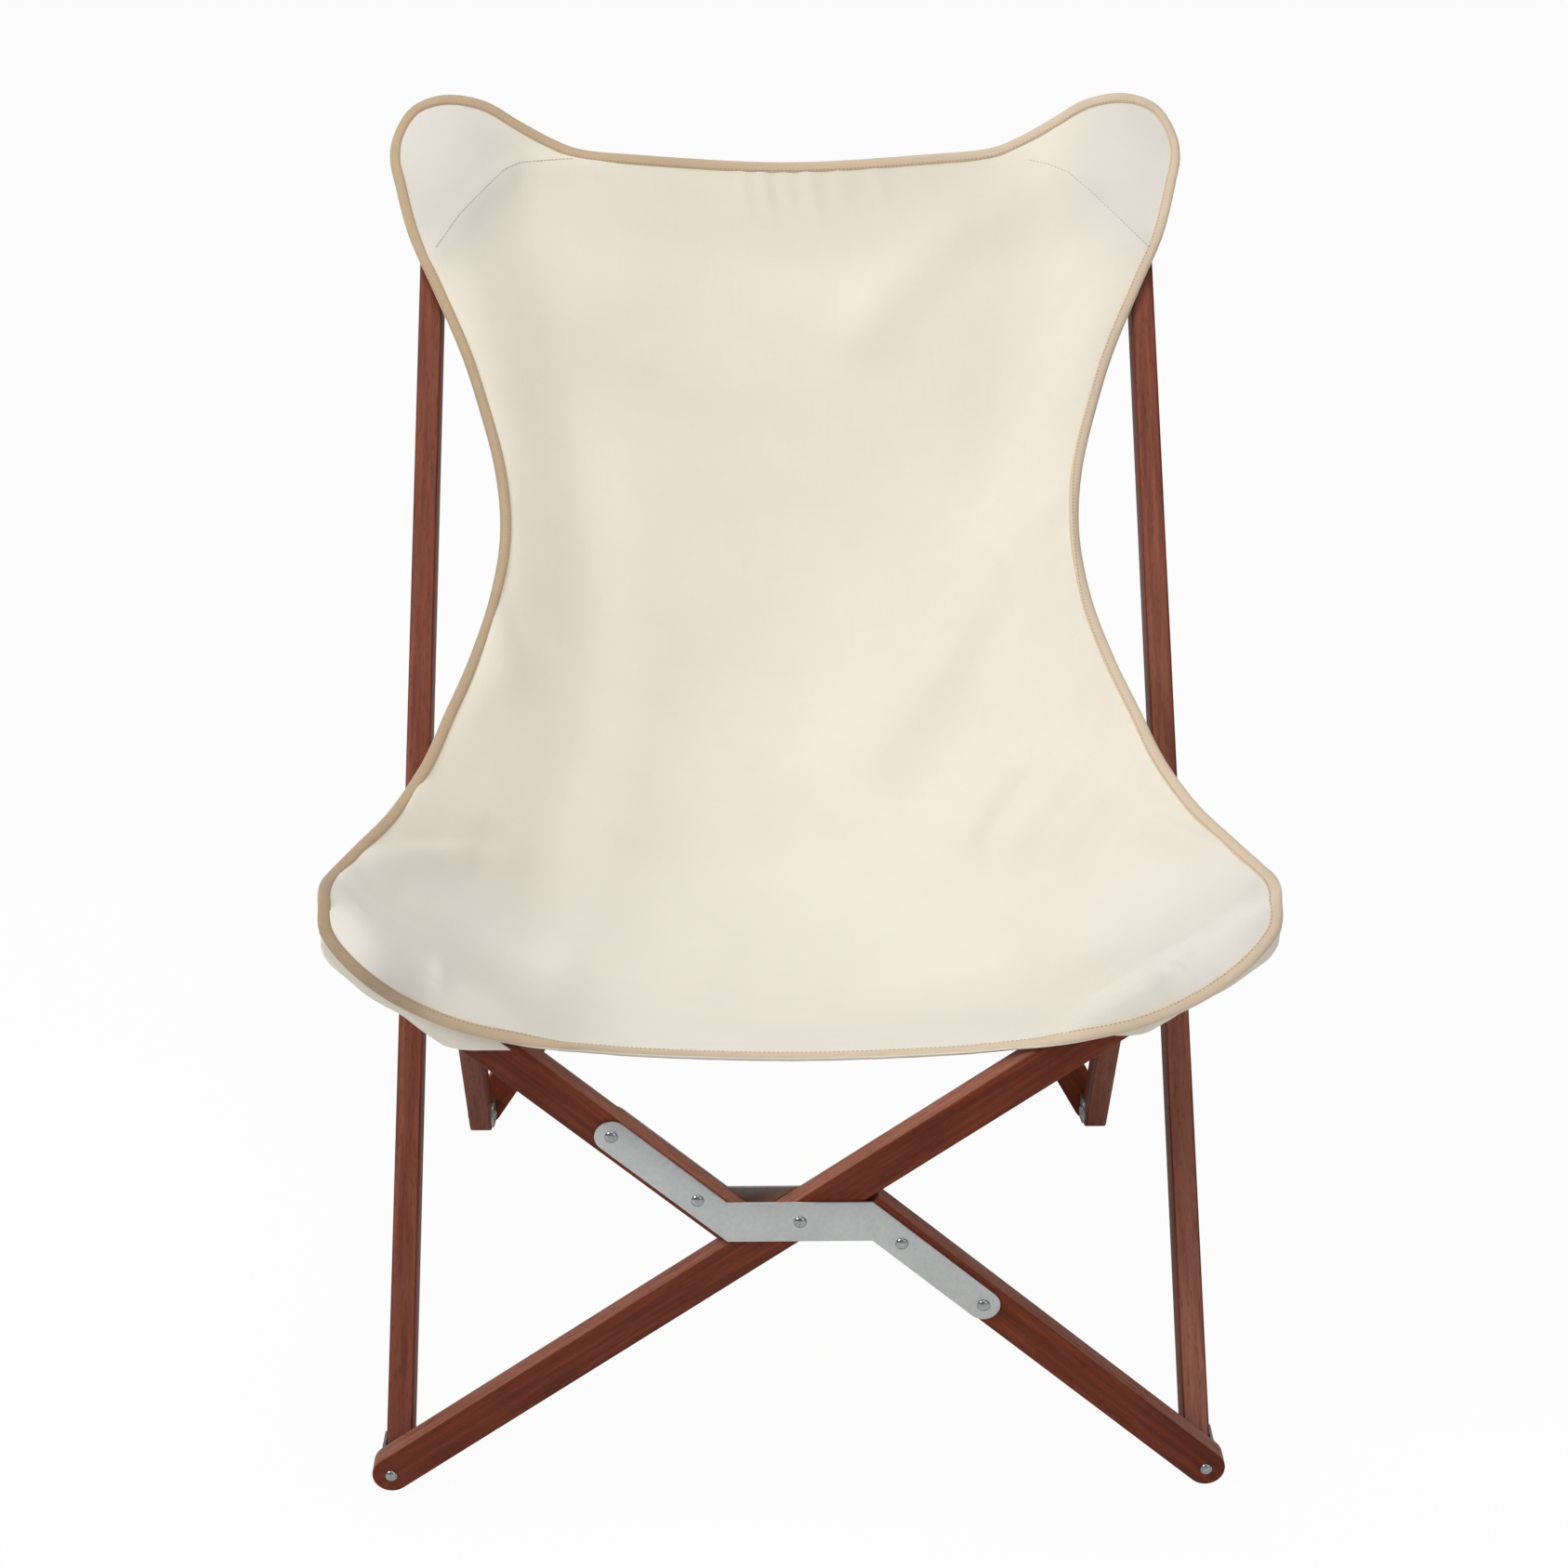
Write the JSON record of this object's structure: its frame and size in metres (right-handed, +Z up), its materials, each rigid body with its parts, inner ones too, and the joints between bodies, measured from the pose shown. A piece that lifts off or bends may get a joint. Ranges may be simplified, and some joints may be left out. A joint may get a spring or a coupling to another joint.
{
  "type": "butterfly sling chair",
  "caption": "Low folding lounge chair: crossed wooden sticks riveted with steel plates and brackets carry a bound canvas sling by corner pockets.",
  "frame": {"origin": "on the floor, under the middle of the overall box", "axes": "+Z up, +Y to the back of the chair, +X to the right as seen from the front"},
  "size_m": [0.7088, 0.8412, 0.932],
  "materials": {
    "wood": "oiled reddish brown hardwood, fine dark pores, eased edges",
    "steel": "zinc plated sheet and rivets, dull light grey",
    "canvas": "cream cotton canvas, plain weave, soft wrinkles",
    "binding": "tan folded tape sewn round the canvas edge"
  },
  "bodies": {
    "side_left": {"side_stick_left": "wood", "front_foot_side_rivet_left": "steel", "strut_hinge_rivet_left": "steel", "top_side_rivet_left": "steel"},
    "side_right": {"side_stick_right": "wood", "front_foot_side_rivet_right": "steel", "strut_hinge_rivet_right": "steel", "top_side_rivet_right": "steel"},
    "front_foot_left": {"front_foot_bracket_left": "steel", "front_foot_cross_rivet_left": "steel"},
    "front_foot_right": {"front_foot_bracket_right": "steel", "front_foot_cross_rivet_right": "steel"},
    "front_straight": {"front_cross_straight_stick": "wood", "front_cross_pivot_rivet": "steel"},
    "front_split": {"front_cross_split_stick_lower": "wood", "front_cross_split_stick_upper": "wood", "front_cross_plate_front": "steel", "front_cross_plate_rear": "steel", "front_cross_lower_near_rivet": "steel", "front_cross_lower_far_rivet": "steel", "front_cross_upper_near_rivet": "steel", "front_cross_upper_far_rivet": "steel"},
    "strut_left": {"back_strut_left": "wood", "back_foot_side_rivet_left": "steel"},
    "strut_right": {"back_strut_right": "wood", "back_foot_side_rivet_right": "steel"},
    "back_foot_left": {"back_foot_bracket_left": "steel"},
    "back_foot_right": {"back_foot_bracket_right": "steel"},
    "top_corner_left": {"top_bracket_left": "steel", "top_cross_rivet_left": "steel"},
    "top_corner_right": {"top_bracket_right": "steel"},
    "back_split": {"back_cross_split_stick_lower": "wood", "back_cross_split_stick_upper": "wood", "back_cross_plate_front": "steel", "back_cross_plate_rear": "steel", "back_foot_cross_rivet_right": "steel", "back_cross_lower_near_rivet": "steel", "back_cross_lower_far_rivet": "steel", "back_cross_upper_near_rivet": "steel", "back_cross_upper_far_rivet": "steel"},
    "back_straight": {"back_cross_straight_stick": "wood", "back_cross_pivot_rivet": "steel", "back_foot_cross_rivet_left": "steel", "top_cross_rivet_right": "steel"},
    "sling": {"sling_canvas": "canvas", "sling_edge_binding": "binding", "front_pocket_left": "canvas", "front_pocket_right": "canvas", "top_pocket_left": "canvas", "top_pocket_right": "canvas"}
  },
  "joints": [
    {"name": "front_foot_lean_left", "type": "hinge", "parent": "side_left", "child": "front_foot_left", "pos_m": [-0.313, -0.35118, 0.01625], "axis": [1, 0, 0], "range_deg": [0, 5.97]},
    {"name": "front_foot_pivot_left", "type": "hinge", "parent": "front_foot_left", "child": "front_straight", "pos_m": [-0.317, -0.37867, 0.01529], "axis": [0, -0.9994, -0.0349], "range_deg": [0, 45.79]},
    {"name": "front_cross_fold", "type": "hinge", "parent": "front_straight", "child": "front_split", "pos_m": [0, -0.38673, 0.24615], "axis": [0, 0.9994, 0.0349], "range_deg": [0, 91.54], "deforming": ["sling_canvas", "sling_edge_binding", "front_pocket_left", "front_pocket_right", "top_pocket_left", "top_pocket_right"]},
    {"name": "front_foot_pivot_right", "type": "hinge", "parent": "front_split", "child": "front_foot_right", "pos_m": [0.317, -0.37867, 0.01529], "axis": [0, -0.9994, -0.0349], "range_deg": [0, 45.79]},
    {"name": "front_foot_lean_right", "type": "hinge", "parent": "front_foot_right", "child": "side_right", "pos_m": [0.313, -0.35118, 0.01625], "axis": [-1, 0, 0], "range_deg": [0, 5.97]},
    {"name": "strut_hinge_left", "type": "hinge", "parent": "side_left", "child": "strut_left", "pos_m": [-0.313, -0.04192, 0.38613], "axis": [-1, 0, 0], "range_deg": [0, 64.67]},
    {"name": "back_foot_hinge_left", "type": "hinge", "parent": "strut_left", "child": "back_foot_left", "pos_m": [-0.29, 0.17182, 0.02353], "axis": [1, 0, 0], "range_deg": [0, 41.27]},
    {"name": "top_hinge_left", "type": "hinge", "parent": "side_left", "child": "top_corner_left", "pos_m": [-0.313, 0.37182, 0.88095], "axis": [-1, 0, 0], "range_deg": [0, 23.41]},
    {"name": "strut_hinge_right", "type": "hinge", "parent": "side_right", "child": "strut_right", "pos_m": [0.313, -0.04192, 0.38613], "axis": [-1, 0, 0], "range_deg": [0, 64.67]},
    {"name": "back_foot_hinge_right", "type": "hinge", "parent": "strut_right", "child": "back_foot_right", "pos_m": [0.29, 0.17182, 0.02353], "axis": [1, 0, 0], "range_deg": [0, 41.27]},
    {"name": "top_hinge_right", "type": "hinge", "parent": "side_right", "child": "top_corner_right", "pos_m": [0.313, 0.37182, 0.88095], "axis": [-1, 0, 0], "range_deg": [0, 23.41]},
    {"name": "top_pivot_left", "type": "hinge", "parent": "top_corner_left", "child": "back_split", "pos_m": [-0.317, 0.40054, 0.87425], "axis": [0, 0.9739, -0.2272], "range_deg": [0, 30.11]},
    {"name": "back_cross_fold", "type": "hinge", "parent": "back_split", "child": "back_straight", "pos_m": [0, 0.29558, 0.42425], "axis": [0, -0.9739, 0.2272], "range_deg": [0, 60.2]},
    {"name": "sling_swing", "type": "hinge", "parent": "side_left", "child": "sling", "pos_m": [0, 0.37182, 0.88095], "axis": [-1, 0, 0], "range_deg": [0, 21.53]}
  ],
  "couplings": [
    {"joint": "front_foot_lean_left", "follows": "front_cross_fold", "ratio": 0.065001},
    {"joint": "front_foot_pivot_left", "follows": "front_cross_fold", "ratio": 0.5},
    {"joint": "front_foot_pivot_right", "follows": "front_cross_fold", "ratio": 0.5},
    {"joint": "front_foot_lean_right", "follows": "front_cross_fold", "ratio": 0.065001},
    {"joint": "strut_hinge_left", "follows": "front_cross_fold", "ratio": 0.70622},
    {"joint": "back_foot_hinge_left", "follows": "front_cross_fold", "ratio": 0.45068},
    {"joint": "top_hinge_left", "follows": "front_cross_fold", "ratio": 0.25554},
    {"joint": "strut_hinge_right", "follows": "front_cross_fold", "ratio": 0.70622},
    {"joint": "back_foot_hinge_right", "follows": "front_cross_fold", "ratio": 0.45068},
    {"joint": "top_hinge_right", "follows": "front_cross_fold", "ratio": 0.25554},
    {"joint": "top_pivot_left", "follows": "front_cross_fold", "ratio": 0.3287},
    {"joint": "back_cross_fold", "follows": "front_cross_fold", "ratio": 0.65741},
    {"joint": "sling_swing", "follows": "front_cross_fold", "ratio": 0.23502}
  ]
}
